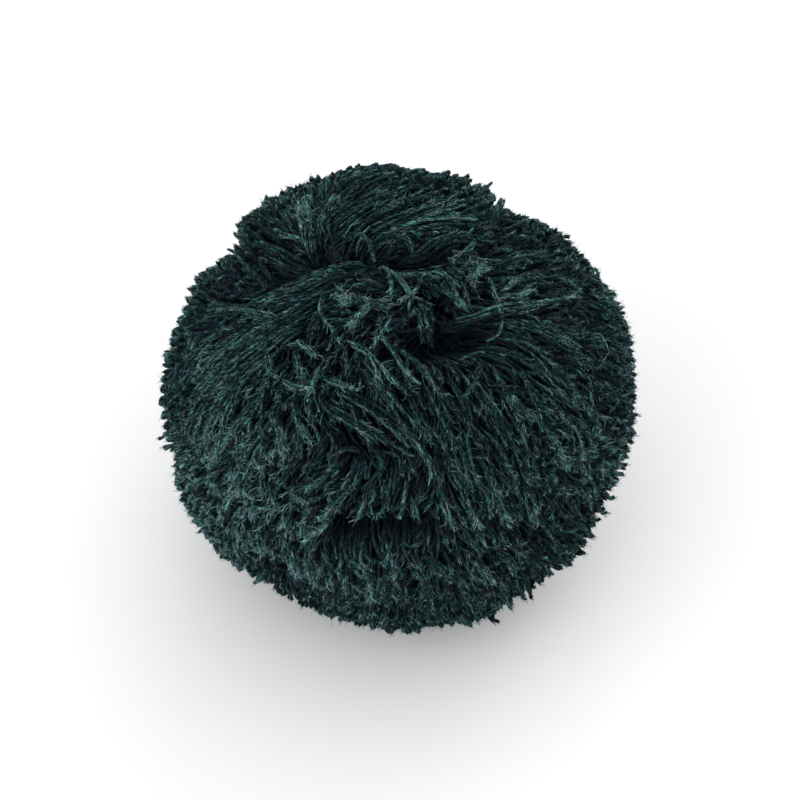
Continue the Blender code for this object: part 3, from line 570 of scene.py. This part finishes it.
def lengths_of_yarn(layer, front, clumps, tufts, cover, chance):
    """One layer of cut lengths, on the side that faces the viewer or on the other."""
    ends = spread_directions(layer.ends, chance)
    facing = ends @ TO_VIEWER
    ends = ends[(facing >= FRONT_LIMIT) if front else (facing < FRONT_LIMIT)]
    if cover is not None:
        ends = ends[~covered(ends, cover, chance)]
    count = len(ends)
    clump = np.argmax(ends @ clumps.middle.T, axis=1)
    tuft = np.argmax(ends @ tufts.middle.T, axis=1)
    pull = CLUMP_PULL if front else 0.5 * CLUMP_PULL
    pull = pull * (0.1 + 0.9 * smooth_step(*PULLED, np.abs(ends @ TO_VIEWER)))[:, None]
    ends = unit(ends * (1 - pull) + clumps.middle[clump] * pull)
    loose = looseness(CENTRE + ends)
    heading = chance.normal(0, layer.heading_spread, count) * (1 + 0.7 * loose)
    heading += clumps.heading[clump] + tufts.heading[tuft]
    lean = clumps.lean[clump] + tufts.lean[tuft] + chance.normal(0, STRAND_LEAN, (count, 3))
    facing = np.abs(ends @ TO_VIEWER)
    rim = 1 - smooth_step(*RIM, facing)
    depth = chance.uniform(layer.low, layer.high, count) * (1 - 0.5 * rim)
    depth += (0.3 + 0.7 * smooth_step(*UNEVEN, facing)) * (clumps.depth[clump] + tufts.depth[tuft])
    run_share = layer.run_share * chance.uniform(0.75, 1.2, count)

    shares = np.array(layer.rings)
    directions, run = walk_back(ends, heading, lean, run_share, shares)
    points = middle_lines(ends, directions, depth, shares)
    across = unit(np.cross(ends, run + 1e-9))[:, None, :]
    points += across * (waves(shares, 5, 11, count, chance) * WAVE_HEIGHT * shares)[..., None]
    radii = YARN_RADIUS * layer.wide * chance.uniform(0.86, 1.12, (count, 1))
    radii = radii * np.interp(shares, (0, 0.3, 0.88, 1), (0.7, 1, 1, 0.7))
    radii[:, -1] *= 1 + 0.35 * rim
    own = chance.uniform(0, 1, count)
    pale = paleness(ends, clumps.tint[clump], loose, shares, chance)
    shade, dim = shade_and_dim(points)
    # Painted shade toward each length's root, where it lies under the others.
    shade = shade * (0.4 + 0.6 * smooth_step(0.45, 0.95, shares))
    return Strands(points, radii, own, across, pale, shade, dim)


def waves(shares, fewest, most, count, chance):
    """From -1 to 1 along each strand, with its own length of wave."""
    turns = shares * chance.uniform(fewest, most, (count, 1))
    return np.sin(turns + chance.uniform(0, 2 * pi, (count, 1)))


def along_path(path, shares):
    """Places at these shares of the length of a smooth curve through the points of a path."""
    knots = np.array(path, float)
    knots = np.vstack((2 * knots[0] - knots[1], knots, 2 * knots[-1] - knots[-2]))
    step = np.linspace(0, 1, 12, endpoint=False)[:, None]
    pieces = []
    for a, b, c, d in zip(knots, knots[1:], knots[2:], knots[3:]):
        bend = (2 * a - 5 * b + 4 * c - d) * step**2 + (3 * b - a - 3 * c + d) * step**3
        pieces.append(b + 0.5 * ((c - a) * step + bend))
    curve = np.vstack(pieces + [knots[-2:-1]])
    length = np.concatenate(((0,), np.cumsum(np.linalg.norm(np.diff(curve, axis=0), axis=1))))
    at = np.asarray(shares) * length[-1]
    return np.stack([np.interp(at, length, column) for column in curve.T], axis=-1)


def lock_cover(lock):
    """Places along a lock where it hides what is under it, each with half the lock's width."""
    shares = np.linspace(0.12, 0.82, 24)
    places = along_path(lock.path, shares)
    half = (lock.root_width + (lock.end_width - lock.root_width) * shares) / 2
    return np.column_stack((places, half))


def covered(ends, cover, chance):
    """Which ends lie in the middle of a lock, where most of them are left out."""
    x, y, facing = in_view(ends)
    near = np.zeros(len(ends), bool)
    for row_x, row_y, half in cover:
        near |= np.hypot(x - row_x, y - row_y) < half + COVER_MARGIN
    return near & (facing > 0) & (chance.uniform(0, 1, len(ends)) < COVER_CHANCE)


def directions_to(places):
    """Directions from the centre to places in the view, on the side of the ball that faces it."""
    flat = places / (MEAN_REACH / MM)
    facing = np.sqrt(np.maximum(1 - np.sum(flat**2, axis=-1), 0))
    return unit(flat[..., :1] * RIGHT + flat[..., 1:] * UP + facing[..., None] * TO_VIEWER)


def lock_strands(lock, chance):
    """The strands of one lock."""
    count = lock.strands
    rings = np.array(LOCK_RINGS)
    beside = np.linspace(-1, 1, count) if count > 1 else np.zeros(1)
    beside = chance.permutation(beside) + chance.normal(0, 0.2, count)
    start = chance.uniform(0, 0.22, count)
    finish = chance.uniform(0.6, 1.0, count)
    finish[np.argmin(np.abs(beside))] = 1
    if hypot(*lock.path[0]) < EDGE_START:
        fine = np.linspace(0, 1, 60)
        out = np.linalg.norm(along_path(lock.path, fine), axis=-1)
        latest = fine[np.argmax(out + 1e-9 * fine > LOCK_LIMIT)] if out.max() > LOCK_LIMIT else 1
        finish = np.minimum(finish, latest * chance.uniform(0.85, 1.05, count))
    shares = start[:, None] + (finish - start)[:, None] * rings
    middle = along_path(lock.path, shares)
    heading = unit(np.gradient(middle, axis=1))
    left = np.stack((-heading[..., 1], heading[..., 0]), axis=-1)
    width = lock.root_width + (lock.end_width - lock.root_width) * shares
    width = np.maximum(width - 2 * YARN_RADIUS / MM, 0.2)
    sway = waves(shares, 3, 8, count, chance)
    off = (beside[:, None] * width / 2) + sway * chance.uniform(0.15, 0.5, (count, 1))
    places = middle + left * off[..., None]
    directions = directions_to(places)

    bulge = 0.1 * np.minimum(width, 4) * (1 - np.minimum(beside[:, None] ** 2, 1))
    lift = (0.35 * lock.lift + 0.16 * lock.lift**2 + bulge + chance.uniform(-1.5, 0.5, (count, 1))) * MM
    lift = lift - ROOT_SINK * (1 - smooth_step(-0.05, 0.22, shares)) ** 1.5
    surface = reach(directions) - 0.3 * hollow_depth(directions) - 0.8 * MM
    distance = surface + lift
    edge = np.linalg.norm(places, axis=-1) * MM
    distance = np.where(edge > surface, edge, np.minimum(distance, reach(directions) + 1.5 * MM))
    points = CENTRE + directions * distance[..., None]
    points[..., 2] = np.maximum(points[..., 2], YARN_RADIUS)

    across = np.cross(directions, unit(np.gradient(points, axis=1)))
    radii = YARN_RADIUS * chance.uniform(0.62, 0.9, (count, 1)) * (1 if count > 1 else 0.75)
    radii = radii * np.interp(rings, (0, 0.2, 0.9, 1), (0.7, 1, 0.97, 0.7))
    # Paler toward each end: painted light where the ends stand proud.
    pale = 0.85 * lock.paleness + chance.normal(0, 0.2, (count, 1)) + 0.2 * smooth_step(0.7, 1, rings)
    own = chance.uniform(0, 1, count)
    return Strands(points, radii, own, across, np.clip(pale, 0, 1), *shade_and_dim(points))


def all_locks(chance):
    """The strands of all the locks."""
    parts = [lock_strands(lock, chance) for lock in LOCKS]
    return Strands(*(np.concatenate(rows) for rows in zip(*parts)))


def mesh_from(name, corners, loops, starts, tints):
    """A mesh from its corners, its faces' corners and where each face starts, and its corners' tints."""
    mesh = bpy.data.meshes.new(name)
    mesh.vertices.add(corners.size // 3)
    mesh.vertices.foreach_set("co", corners.ravel())
    mesh.loops.add(len(loops))
    mesh.polygons.add(len(starts))
    mesh.loops.foreach_set("vertex_index", loops.astype(np.int32))
    mesh.polygons.foreach_set("loop_start", starts.astype(np.int32))
    colour = mesh.attributes.new("tint", "FLOAT_COLOR", "POINT")
    colour.data.foreach_set("color", tints.ravel())
    return mesh


def tube_map(points, own, sides):
    """Where each wall's corners are round the strand, and along it in turns of the plies."""
    count, rings, _ = points.shape
    step = np.linalg.norm(np.diff(points, axis=1), axis=-1)
    length = np.concatenate((np.zeros((count, 1)), np.cumsum(step, axis=1)), axis=1)
    length = length + (own[:, None] * 17) % 1 * PLY_PITCH
    around = (np.arange(sides) / sides)[None, None, :] + np.zeros((count, rings - 1, 1))
    low = np.repeat(length[:, :-1, None], sides, axis=2)
    high = np.repeat(length[:, 1:, None], sides, axis=2)
    rounds = np.stack((around, around + 1 / sides, around + 1 / sides, around), -1)
    wall_map = np.stack((rounds, np.stack((low, low, high, high), -1) / PLY_PITCH), -1).reshape(-1, 2)
    cap_map = np.zeros((count * sides, 2))
    cap_map[:, 1] = 0.25
    return np.concatenate((wall_map, cap_map, cap_map))


def tube_faces(count, rings, sides):
    """The walls of the tubes, and their caps at the roots and at the tips."""
    first = np.arange(count)[:, None, None] * rings * sides
    here = first + np.arange(rings - 1)[:, None] * sides + np.arange(sides)
    next_side = first + np.arange(rings - 1)[:, None] * sides + (np.arange(sides) + 1) % sides
    walls = np.stack((here, next_side, next_side + sides, here + sides), axis=-1).reshape(-1, 4)
    roots = np.arange(count)[:, None] * rings * sides + np.arange(sides)[::-1]
    tips = (np.arange(count)[:, None] * rings + rings - 1) * sides + np.arange(sides)
    return walls, roots, tips


def tube_mesh(name, strands, sides):
    """One mesh of closed tubes round the strands' middle lines, with a map along and round them."""
    points, radii, own, across, pale, shade, dim = strands
    count, rings, _ = points.shape
    heading = unit(np.gradient(points, axis=1))
    side = unit(without(across, heading))
    up = np.cross(heading, side)
    angle = np.arange(sides) * (2 * pi / sides) + pi / 2
    ring = (
        side[:, :, None, :] * np.cos(angle)[:, None] + up[:, :, None, :] * np.sin(angle)[:, None]
    ) * radii[:, :, None, None]
    corners = points[:, :, None, :] + ring
    corners[..., 2] = np.maximum(corners[..., 2], 0)

    walls, roots, tips = tube_faces(count, rings, sides)
    wall_starts = np.arange(len(walls)) * 4
    cap_starts = walls.size + np.arange(2 * count) * sides
    tints = np.ones((count, rings, sides, 4))
    tints[..., 0] = own[:, None, None]
    tints[..., 1] = pale[:, :, None]
    # The third part is painted shade, from 1 at the surface to 0 deep in the ball.
    tints[..., 2] = shade[:, :, None]
    # The fourth part is 1 on each strand's outer side and 0 underneath, and places painted highlights and
    # painted shade round it.
    tints[..., 3] = 0.5 + 0.5 * np.sin(angle)
    loops = np.concatenate((walls.ravel(), roots.ravel(), tips.ravel()))
    mesh = mesh_from(name, corners, loops, np.concatenate((wall_starts, cap_starts)), tints)
    smooth = np.arange(len(walls) + 2 * count) < len(walls)
    mesh.polygons.foreach_set("use_smooth", smooth)
    mesh.uv_layers.new(name="along").data.foreach_set("uv", tube_map(points, own, sides).ravel())
    # Painted shade in the hollows, as a value for each point.
    hollow = mesh.attributes.new("dim", "FLOAT", "POINT")
    hollow.data.foreach_set("value", np.repeat(dim.ravel(), sides).astype(np.float32))
    return mesh


def add_piece(mesh, material):
    """A piece of the pom pom, which rides on its one body."""
    mesh.update(calc_edges=True)
    mesh.validate()
    mesh.materials.append(material)
    piece = bpy.data.objects.new(mesh.name, mesh)
    bpy.context.scene.collection.objects.link(piece)
    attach(piece, "root")
    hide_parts("pom_pom")


def parted(strands, places):
    """The strands that a rule on their cut ends picks."""
    return Strands(*(rows[places] for rows in strands))


def add_yarn(material):
    """All the cut lengths, in pieces by the side that they are on."""
    chance = np.random.default_rng(5)
    clumps = make_groups(CLUMP_COUNT, 8, 0.8 * MM, -0.8 * MM, 1.4 * MM, chance)
    tufts = make_groups(TUFT_COUNT, 8, 0.6 * MM, -0.8 * MM, 0.9 * MM, chance)
    cover = np.vstack([lock_cover(lock) for lock in LOCKS])
    made = []
    for number, layer in enumerate(FRONT_LAYERS):
        strands = lengths_of_yarn(layer, True, clumps, tufts, cover if number == 2 else None, chance)
        made.append(strands)
        end = (strands.points[:, -1] - CENTRE) @ RIGHT
        add_piece(tube_mesh(f"yarn_left_{number}", parted(strands, end < 0), STRAND_SIDES), material)
        add_piece(tube_mesh(f"yarn_right_{number}", parted(strands, end >= 0), STRAND_SIDES), material)
    for number, layer in enumerate(BACK_LAYERS):
        strands = lengths_of_yarn(layer, False, clumps, tufts, None, chance)
        made.append(strands)
        add_piece(tube_mesh(f"yarn_back_{number}", strands, STRAND_SIDES), material)
    locks = all_locks(chance)
    made.append(locks)
    add_piece(tube_mesh("locks", locks, LOCK_SIDES), material)
    return made


def add_core(material):
    """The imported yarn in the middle, dark between the lengths."""
    ball = bpy.data.meshes.new("yarn_middle")
    shape = bmesh.new()
    bmesh.ops.create_icosphere(shape, subdivisions=5, radius=1)
    directions = unit(np.array([corner.co for corner in shape.verts]))
    spots = CENTRE + directions * (core_reach(directions) + 1.0 * MM)[:, None]
    spots[:, 2] = np.maximum(spots[:, 2], 2 * MM)
    for corner, spot in zip(shape.verts, spots):
        corner.co = spot
    shape.to_mesh(ball)
    shape.free()
    add_piece(ball, material)


def feed(tree, slot, value):
    """Gives an input a number or a colour, or links it to another node's output."""
    if isinstance(value, tuple):
        slot.default_value = (*value, 1)
    elif isinstance(value, (int, float)):
        slot.default_value = value
    else:
        tree.links.new(value, slot)


def math_node(tree, operation, *values):
    """A Math node fed by numbers or by other nodes' outputs."""
    node = tree.nodes.new("ShaderNodeMath")
    node.operation = operation
    for slot, value in zip(node.inputs, values):
        feed(tree, slot, value)
    return node.outputs[0]


def mix_colours(tree, share, first, second):
    """A mix of two colours by a share from 0 to 1."""
    node = tree.nodes.new("ShaderNodeMix")
    node.data_type = "RGBA"
    node.clamp_factor = True
    for number, value in ((0, share), (6, first), (7, second)):
        feed(tree, node.inputs[number], value)
    return node.outputs[2]


def noise(tree, vector, detail=2.0):
    """Soft noise at scale 1 on a vector."""
    node = tree.nodes.new("ShaderNodeTexNoise")
    for name, value in (("Scale", 1.0), ("Detail", detail), ("Vector", vector)):
        feed(tree, node.inputs[name], value)
    return node.outputs["Fac"]


def stretched(tree, value, low, high, curve="LINEAR"):
    """A value from 0 at low to 1 at high."""
    node = tree.nodes.new("ShaderNodeMapRange")
    node.interpolation_type = curve
    for name, number in (("Value", value), ("From Min", low), ("From Max", high)):
        feed(tree, node.inputs[name], number)
    return node.outputs[0]


def vector_node(tree, x, y, z):
    """A vector from three values."""
    node = tree.nodes.new("ShaderNodeCombineXYZ")
    for slot, value in zip(node.inputs, (x, y, z)):
        feed(tree, slot, value)
    return node.outputs[0]


def place_noise(tree, scale, detail=2.0):
    """Soft noise fixed to the pom pom, with so many waves in a metre."""
    place = tree.nodes.new("ShaderNodeTexCoord")
    scaled = tree.nodes.new("ShaderNodeVectorMath")
    scaled.operation = "SCALE"
    feed(tree, scaled.inputs["Scale"], scale)
    feed(tree, scaled.inputs[0], place.outputs["Object"])
    return noise(tree, scaled.outputs[0], detail)


def attribute(tree, name):
    """A node that reads one of the meshes' own values."""
    node = tree.nodes.new("ShaderNodeAttribute")
    node.attribute_name = name
    return node


def attribute_parts(tree, name):
    """The three parts of one of the meshes' own colours."""
    split = tree.nodes.new("ShaderNodeSeparateColor")
    feed(tree, split.inputs[0], attribute(tree, name).outputs["Color"])
    return split.outputs


def add_relief(tree, shader, height, strength):
    """Fine relief, with its height in metres."""
    bump = tree.nodes.new("ShaderNodeBump")
    for name, value in (("Distance", 1.0), ("Strength", strength), ("Height", height)):
        feed(tree, bump.inputs[name], value)
    feed(tree, shader.inputs["Normal"], bump.outputs[0])


def new_material(name, roughness, specular):
    """A material, with its nodes and its shader."""
    material = bpy.data.materials.new(name)
    material.use_nodes = True
    shader = material.node_tree.nodes["Principled BSDF"]
    shader.inputs["Roughness"].default_value = roughness
    shader.inputs["Specular IOR Level"].default_value = specular
    return material, material.node_tree, shader


def plies(tree, around, along, own):
    """Two plies that go round each other once in each unit along, and how uneven they are."""
    seed = math_node(tree, "MULTIPLY", own, 61.0)
    uneven = noise(tree, vector_node(tree, 0.0, math_node(tree, "MULTIPLY", along, 1.3), seed), 1.0)
    turn = math_node(tree, "MULTIPLY", math_node(tree, "SUBTRACT", around, along), 2 * pi)
    turn = math_node(tree, "MULTIPLY_ADD", uneven, 7.0, turn)
    return math_node(tree, "ABSOLUTE", math_node(tree, "COSINE", turn)), uneven


def slanted_fibres(tree, around, along, own, uneven):
    """Fibres that run at a slant to the strand."""
    slant = math_node(tree, "MULTIPLY_ADD", along, -3.6, math_node(tree, "MULTIPLY", around, 12.0))
    slant = math_node(tree, "MULTIPLY_ADD", uneven, 7.0, slant)
    seed = math_node(tree, "MULTIPLY", own, 97.0)
    return noise(tree, vector_node(tree, slant, math_node(tree, "MULTIPLY", along, 1.15), seed), 1.0)


def curly_lines(tree):
    """Curly fibres over the yarn: thin lines along which a soft noise has the same value."""
    off = math_node(tree, "SUBTRACT", place_noise(tree, CURLS, 0.5), 0.5)
    return stretched(tree, math_node(tree, "ABSOLUTE", off), 0.060, 0.018, "SMOOTHSTEP")


def wool_colour(tree, own, pale_share, crown, ply, streak):
    """The wool near the surface, with painted highlights on the crowns of the plies, painted shade in
    their grooves and on the strands' sides, and how much light it catches.
    """
    crowned = math_node(tree, "MULTIPLY", ply, math_node(tree, "POWER", crown, 0.8))
    bluish = math_node(tree, "MULTIPLY", stretched(tree, place_noise(tree, PATCHES), 0.5, 0.7), 0.35)
    body = mix_colours(tree, bluish, mix_colours(tree, pale_share, *PLAIN), BLUISH)
    # Painted shade in the ply grooves and away from each strand's top.
    base = mix_colours(tree, crowned, mix_colours(tree, own, *GROOVE_SHADES), body)
    lit = math_node(tree, "MULTIPLY", streak, math_node(tree, "MULTIPLY_ADD", crowned, 0.8, 0.2))
    # Painted curly fibres, which join the painted highlights.
    lit = math_node(tree, "MAXIMUM", lit, math_node(tree, "MULTIPLY", curly_lines(tree), 0.26))
    colour = mix_colours(tree, lit, base, mix_colours(tree, pale_share, *FIBRE_HIGHLIGHTS))
    # Painted shade on the sides and undersides of the strands.
    side = math_node(tree, "MULTIPLY_ADD", crown, -0.75, 0.75)
    return mix_colours(tree, side, colour, STRAND_SIDE_SHADE), lit


def speckled(tree, colour):
    """A colour with fine specks of other hues."""
    specks = mix_colours(tree, stretched(tree, place_noise(tree, HUES), 0.34, 0.66), *SPECKS)
    tone = tree.nodes.new("ShaderNodeVectorMath")
    tone.operation = "MULTIPLY"
    feed(tree, tone.inputs[0], colour)
    feed(tree, tone.inputs[1], specks)
    return tone.outputs[0]


def yarn_material():
    """Two plies of wool twisted together, with fibres that catch the light along them as painted
    highlights, and painted shade in the depths and hollows.
    """
    material, tree, shader = new_material("green_wool_yarn", 0.8, 0.02)
    shader.inputs["Sheen Weight"].default_value = 0.01
    shader.inputs["Sheen Roughness"].default_value = 0.45
    shader.inputs["Sheen Tint"].default_value = (0.45, 0.75, 0.7, 1)
    place = tree.nodes.new("ShaderNodeUVMap")
    place.uv_map = "along"
    split = tree.nodes.new("ShaderNodeSeparateXYZ")
    feed(tree, split.inputs[0], place.outputs[0])
    around, along = split.outputs[0], split.outputs[1]
    own, pale_share, shade = attribute_parts(tree, "tint")
    crown = attribute(tree, "tint").outputs["Alpha"]

    ply, uneven = plies(tree, around, along, own)
    fibre = slanted_fibres(tree, around, along, own, uneven)
    # Paleness, the strand's own tone together with its painted light, changes along the strand and raises
    # more of its fibres into painted highlight streaks.
    spread = math_node(tree, "MULTIPLY_ADD", uneven, 2.4, -0.35)
    pale_share = math_node(tree, "MULTIPLY", pale_share, spread)
    raised = math_node(tree, "MULTIPLY_ADD", pale_share, 0.08, fibre)
    streak = stretched(tree, raised, 0.57, 0.66, "SMOOTHSTEP")
    colour, lit = wool_colour(tree, own, pale_share, crown, ply, streak)
    # Painted shade: deep in the ball the yarn goes over into a lighter, bluer painted shade colour that
    # keeps a little of the highlights.
    colour = mix_colours(tree, shade, mix_colours(tree, lit, *DEPTH_SHADE_PAINT), colour)
    # Painted shade in the hollows.
    hollow_shade = math_node(tree, "MULTIPLY", attribute(tree, "dim").outputs["Fac"], 0.7)
    colour = mix_colours(tree, hollow_shade, colour, HOLLOW_SHADE_PAINT)
    feed(tree, shader.inputs["Base Color"], speckled(tree, colour))

    raised_ply = math_node(tree, "MULTIPLY", ply, RELIEF)
    raised_fibre = math_node(tree, "MULTIPLY", fibre, RELIEF)
    add_relief(tree, shader, math_node(tree, "ADD", raised_ply, raised_fibre), 0.8)
    return material


def core_material():
    """The shaded yarn deep between the lengths."""
    material, tree, shader = new_material("green_wool_middle", 0.95, 0.02)
    grain = stretched(tree, place_noise(tree, MIDDLE_GRAIN), 0.36, 0.64)
    feed(tree, shader.inputs["Base Color"], mix_colours(tree, grain, *MIDDLE))
    add_relief(tree, shader, math_node(tree, "MULTIPLY", grain, MIDDLE_RELIEF), 1.0)
    return material


def fuzz_material():
    """Pale stray fibres."""
    material, tree, shader = new_material("pale_wool_fuzz", 0.7, 0.05)
    pale, mauve, _ = attribute_parts(tree, "tint")
    green_fibre = mix_colours(tree, pale, *GREEN_FUZZ)
    mauve_fibre = mix_colours(tree, pale, *MAUVE_FUZZ)
    feed(tree, shader.inputs["Base Color"], mix_colours(tree, mauve, green_fibre, mauve_fibre))
    return material


def blade_faces(rings):
    """The corners of one blade's faces, and where each face starts: a point, strips and a point."""
    pattern = [0, 1, 2]
    starts = [0]
    for ring in range(1, rings - 2):
        starts.append(len(pattern))
        pattern += [2 * ring - 1, 2 * ring + 1, 2 * ring + 2, 2 * ring]
    if rings > 2:
        starts.append(len(pattern))
        pattern += [2 * rings - 5, 2 * rings - 3, 2 * rings - 4]
    return np.array(pattern), starts


def blade_mesh(name, points, across, widths, pale, mauve):
    """One mesh of thin blades, each through its points and tapered to its ends."""
    count, rings, _ = points.shape
    half = across * widths[:, None] / 2
    if rings == 2:
        rows = [points[:, 0] - half, points[:, 0] + half]
    else:
        rows = [points[:, 0]]
        for ring in range(1, rings - 1):
            rows += [points[:, ring] - half, points[:, ring] + half]
    corners = np.stack(rows + [points[:, -1]], axis=1)
    corners[..., 2] = np.maximum(corners[..., 2], 0)
    pattern, first_loops = blade_faces(rings)
    size = corners.shape[1]
    loops = (np.arange(count)[:, None] * size + pattern).ravel()
    starts = (np.arange(count)[:, None] * len(pattern) + first_loops).ravel()
    tints = np.ones((count, size, 4))
    tints[..., 0] = pale[:, None]
    tints[..., 1] = mauve[:, None]
    return mesh_from(name, corners, loops, starts, tints)


Spots = namedtuple("Spots", "place yarn_way out side radius pale loose")


def looseness(points):
    """How much more fibre there is at these points than elsewhere."""
    x, y, facing = in_view(unit(points - CENTRE))
    more = np.zeros(len(points))
    for *place, radius, amount in WOOLLY:
        more += amount * nearness(x, y, place, radius**2)
    return more * (facing > 0) + 0.9 * (1 - smooth_step(*LOOSE_EDGE, np.abs(facing)))


def spots_on_yarn(made, count, first, chance):
    """Places on the yarn from which fibres stray, from a first share of its length to the end."""
    share = np.array([len(strands.points) for strands in made]) * LAYER_FUZZ
    places, ways, radii, pale, loose = [], [], [], [], []
    for strands, number in zip(made, np.round(count * share / share.sum()).astype(int)):
        rings = strands.points.shape[1]
        more = looseness(strands.points[:, -2])
        pick = chance.choice(len(strands.points), number, p=(1 + more) / (1 + more).sum())
        at = chance.uniform(first, 1.0, number) * (rings - 1.001)
        low = at.astype(int)
        part = (at - low)[:, None]
        before, after = strands.points[pick, low], strands.points[pick, low + 1]
        places.append(before * (1 - part) + after * part)
        ways.append(unit(after - before))
        radii.append(strands.radii[pick, low])
        # The fibres take on the painted light and shade of the yarn they stray from, deep in the ball and
        # in the hollows.
        pale.append(strands.pale[pick, low] * strands.shade[pick, low] - 0.5 * strands.dim[pick, low])
        loose.append(more[pick])
    place, yarn_way = np.concatenate(places), np.concatenate(ways)
    out = unit(place - CENTRE)
    side = unit(without(chance.normal(size=place.shape), yarn_way))
    return Spots(place, yarn_way, out, side, *(np.concatenate(rows) for rows in (radii, pale, loose)))


def fibre_tints(spots, chance):
    """How pale each fibre is, and how mauve."""
    count = len(spots.place)
    pale = chance.uniform(0, 1, count) ** 3 * (0.4 + spots.pale + 0.2 * spots.loose)
    return np.clip(pale, 0, 1), chance.uniform(0, 1, count) ** 2.8


def fibre_lengths(spots, mean, most, chance):
    """Lengths of fibres, which are shorter at the edge of the view."""
    length = np.minimum(chance.gamma(4.0, mean / 4, len(spots.place)), most)
    return (length * (0.5 + 0.5 * smooth_step(*SHORT_FUZZ, np.abs(spots.out @ TO_VIEWER))))[:, None]


def add_straight_fibres(made, material):
    """Fine straight fibres that slant along the plies, and those that fray the cut ends."""
    chance = np.random.default_rng(17)
    for name, share, first, upright, splay, mean in (
        ("fibres", 1 - END_SHARE, 0.4, 1.3, 0.15, 1.1 * MM),
        ("frayed_ends", END_SHARE, 0.96, 0.2, 0.5, 0.7 * MM),
    ):
        spots = spots_on_yarn(made, round(STRAIGHT_COUNT * share), first, chance)
        count = len(spots.place)
        stand = unit(spots.side + spots.out * upright)
        start = spots.place + stand * spots.radius[:, None] * 0.94
        slant = np.cross(stand, spots.yarn_way) * chance.normal(0.5, 0.4, (count, 1))
        way = unit(spots.yarn_way + slant + stand * chance.uniform(0, splay, (count, 1)))
        length = fibre_lengths(spots, mean, LONGEST_STRAIGHT, chance)
        points = np.stack((start, start + way * length), axis=1)
        across = unit(np.cross(way, spots.out))
        widths = FIBRE_WIDTH * chance.uniform(0.7, 1.4, count)
        add_piece(blade_mesh(name, points, across, widths, *fibre_tints(spots, chance)), material)


def add_loose_fibres(name, made, count, bends, mean, seed, material):
    """Longer fibres that lie loosely on the yarn, more of them where it is woolly."""
    chance = np.random.default_rng(seed)
    spots = spots_on_yarn(made, count, 0.5, chance)
    count = len(spots.place)
    wild = (0.5 + 0.35 * np.minimum(spots.loose, 2))[:, None]
    step = fibre_lengths(spots, mean, LONGEST_LOOSE, chance) / (bends + 1)
    way = unit(
        spots.yarn_way + spots.side * chance.normal(0, 1, (count, 1)) * wild
        + spots.out * chance.uniform(0, 0.25, (count, 1))
    )
    across = unit(np.cross(way, spots.out))
    points = [spots.place + unit(spots.side * 0.6 + spots.out) * spots.radius[:, None]]
    turn = chance.normal(0, 0.9, (count, 1)) * (0.5 + wild)
    for _ in range(bends + 1):
        points.append(points[-1] + way * step)
        bend = np.cross(spots.out, way) * (turn + chance.normal(0, 0.3, (count, 1)))
        way = unit(way + bend + chance.normal(0, 0.2, (count, 3)) - spots.out * 0.15)
    widths = FIBRE_WIDTH * chance.uniform(0.6, 1.3, count)
    points = np.stack(points, axis=1)
    add_piece(blade_mesh(name, points, across, widths, *fibre_tints(spots, chance)), material)


def add_floor():
    """A plain pale floor."""
    bpy.ops.mesh.primitive_plane_add(size=6)
    floor = bpy.context.object
    floor.name = "floor"
    material, _, shader = new_material("pale_floor", 0.9, 0.5)
    shader.inputs["Base Color"].default_value = (0.93, 0.93, 0.93, 1)
    floor.data.materials.append(material)


def add_light(name, place, size, power):
    """A soft square lamp that faces the pom pom."""
    lamp = bpy.data.lights.new(name, "AREA")
    lamp.size = size
    lamp.energy = power
    spot = bpy.data.objects.new(name, lamp)
    spot.location = place
    spot.rotation_mode = "QUATERNION"
    spot.rotation_quaternion = (Vector(CENTRE) - Vector(place)).to_track_quat("-Z", "Y")
    bpy.context.scene.collection.objects.link(spot)


def add_studio():
    """Soft light from above and the upper left, and pale air all round."""
    add_light("key", (-1.05, -0.9, 0.6), 1.5, 10)
    add_light("fill", (0.95, -0.85, 0.35), 1.0, 2.2)
    add_light("back", (0.5, 1.1, 0.4), 1.2, 8)
    world = bpy.data.worlds.new("studio")
    world.use_nodes = True
    world.node_tree.nodes["Background"].inputs["Color"].default_value = (1, 1, 1, 1)
    world.node_tree.nodes["Background"].inputs["Strength"].default_value = 1.0
    bpy.context.scene.world = world
    bpy.context.scene.view_settings.view_transform = "Standard"


# The photo is 800 pixels wide, and the pom pom's centre is a little off its middle.
PHOTO_PIXELS = 800
PIXEL = 0.22727 * MM
CENTRE_PIXEL = (397, 398)
CAMERA_DISTANCE = 1.6
SENSOR = 36.0


def add_camera():
    """The photo's view."""
    data = bpy.data.cameras.new("photo")
    data.sensor_width = SENSOR
    data.lens = SENSOR * CAMERA_DISTANCE / (PHOTO_PIXELS * PIXEL)
    off_right = (PHOTO_PIXELS / 2 - CENTRE_PIXEL[0]) * PIXEL
    off_up = (CENTRE_PIXEL[1] - PHOTO_PIXELS / 2) * PIXEL
    aim = CENTRE + RIGHT * off_right + UP * off_up
    camera = bpy.data.objects.new("photo", data)
    camera.location = aim + TO_VIEWER * CAMERA_DISTANCE
    camera.rotation_mode = "QUATERNION"
    camera.rotation_quaternion = Vector(-TO_VIEWER).to_track_quat("-Z", "Y")
    bpy.context.scene.collection.objects.link(camera)
    bpy.context.scene.camera = camera


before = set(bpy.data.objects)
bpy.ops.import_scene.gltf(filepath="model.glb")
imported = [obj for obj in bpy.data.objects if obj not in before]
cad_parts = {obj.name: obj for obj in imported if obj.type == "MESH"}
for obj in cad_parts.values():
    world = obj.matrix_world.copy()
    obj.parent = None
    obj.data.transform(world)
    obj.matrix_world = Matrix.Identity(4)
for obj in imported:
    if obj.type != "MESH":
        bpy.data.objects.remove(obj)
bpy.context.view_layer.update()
add_camera()
add_floor()
add_studio()
wool = yarn_material()
add_core(core_material())
yarn = add_yarn(wool)
fuzz = fuzz_material()
add_straight_fibres(yarn, fuzz)
add_loose_fibres("bent_fibres", yarn, BENT_COUNT, 1, 1.15 * MM, 19, fuzz)
add_loose_fibres("curly_fibres", yarn, CURLY_COUNT, 2, 1.9 * MM, 23, fuzz)
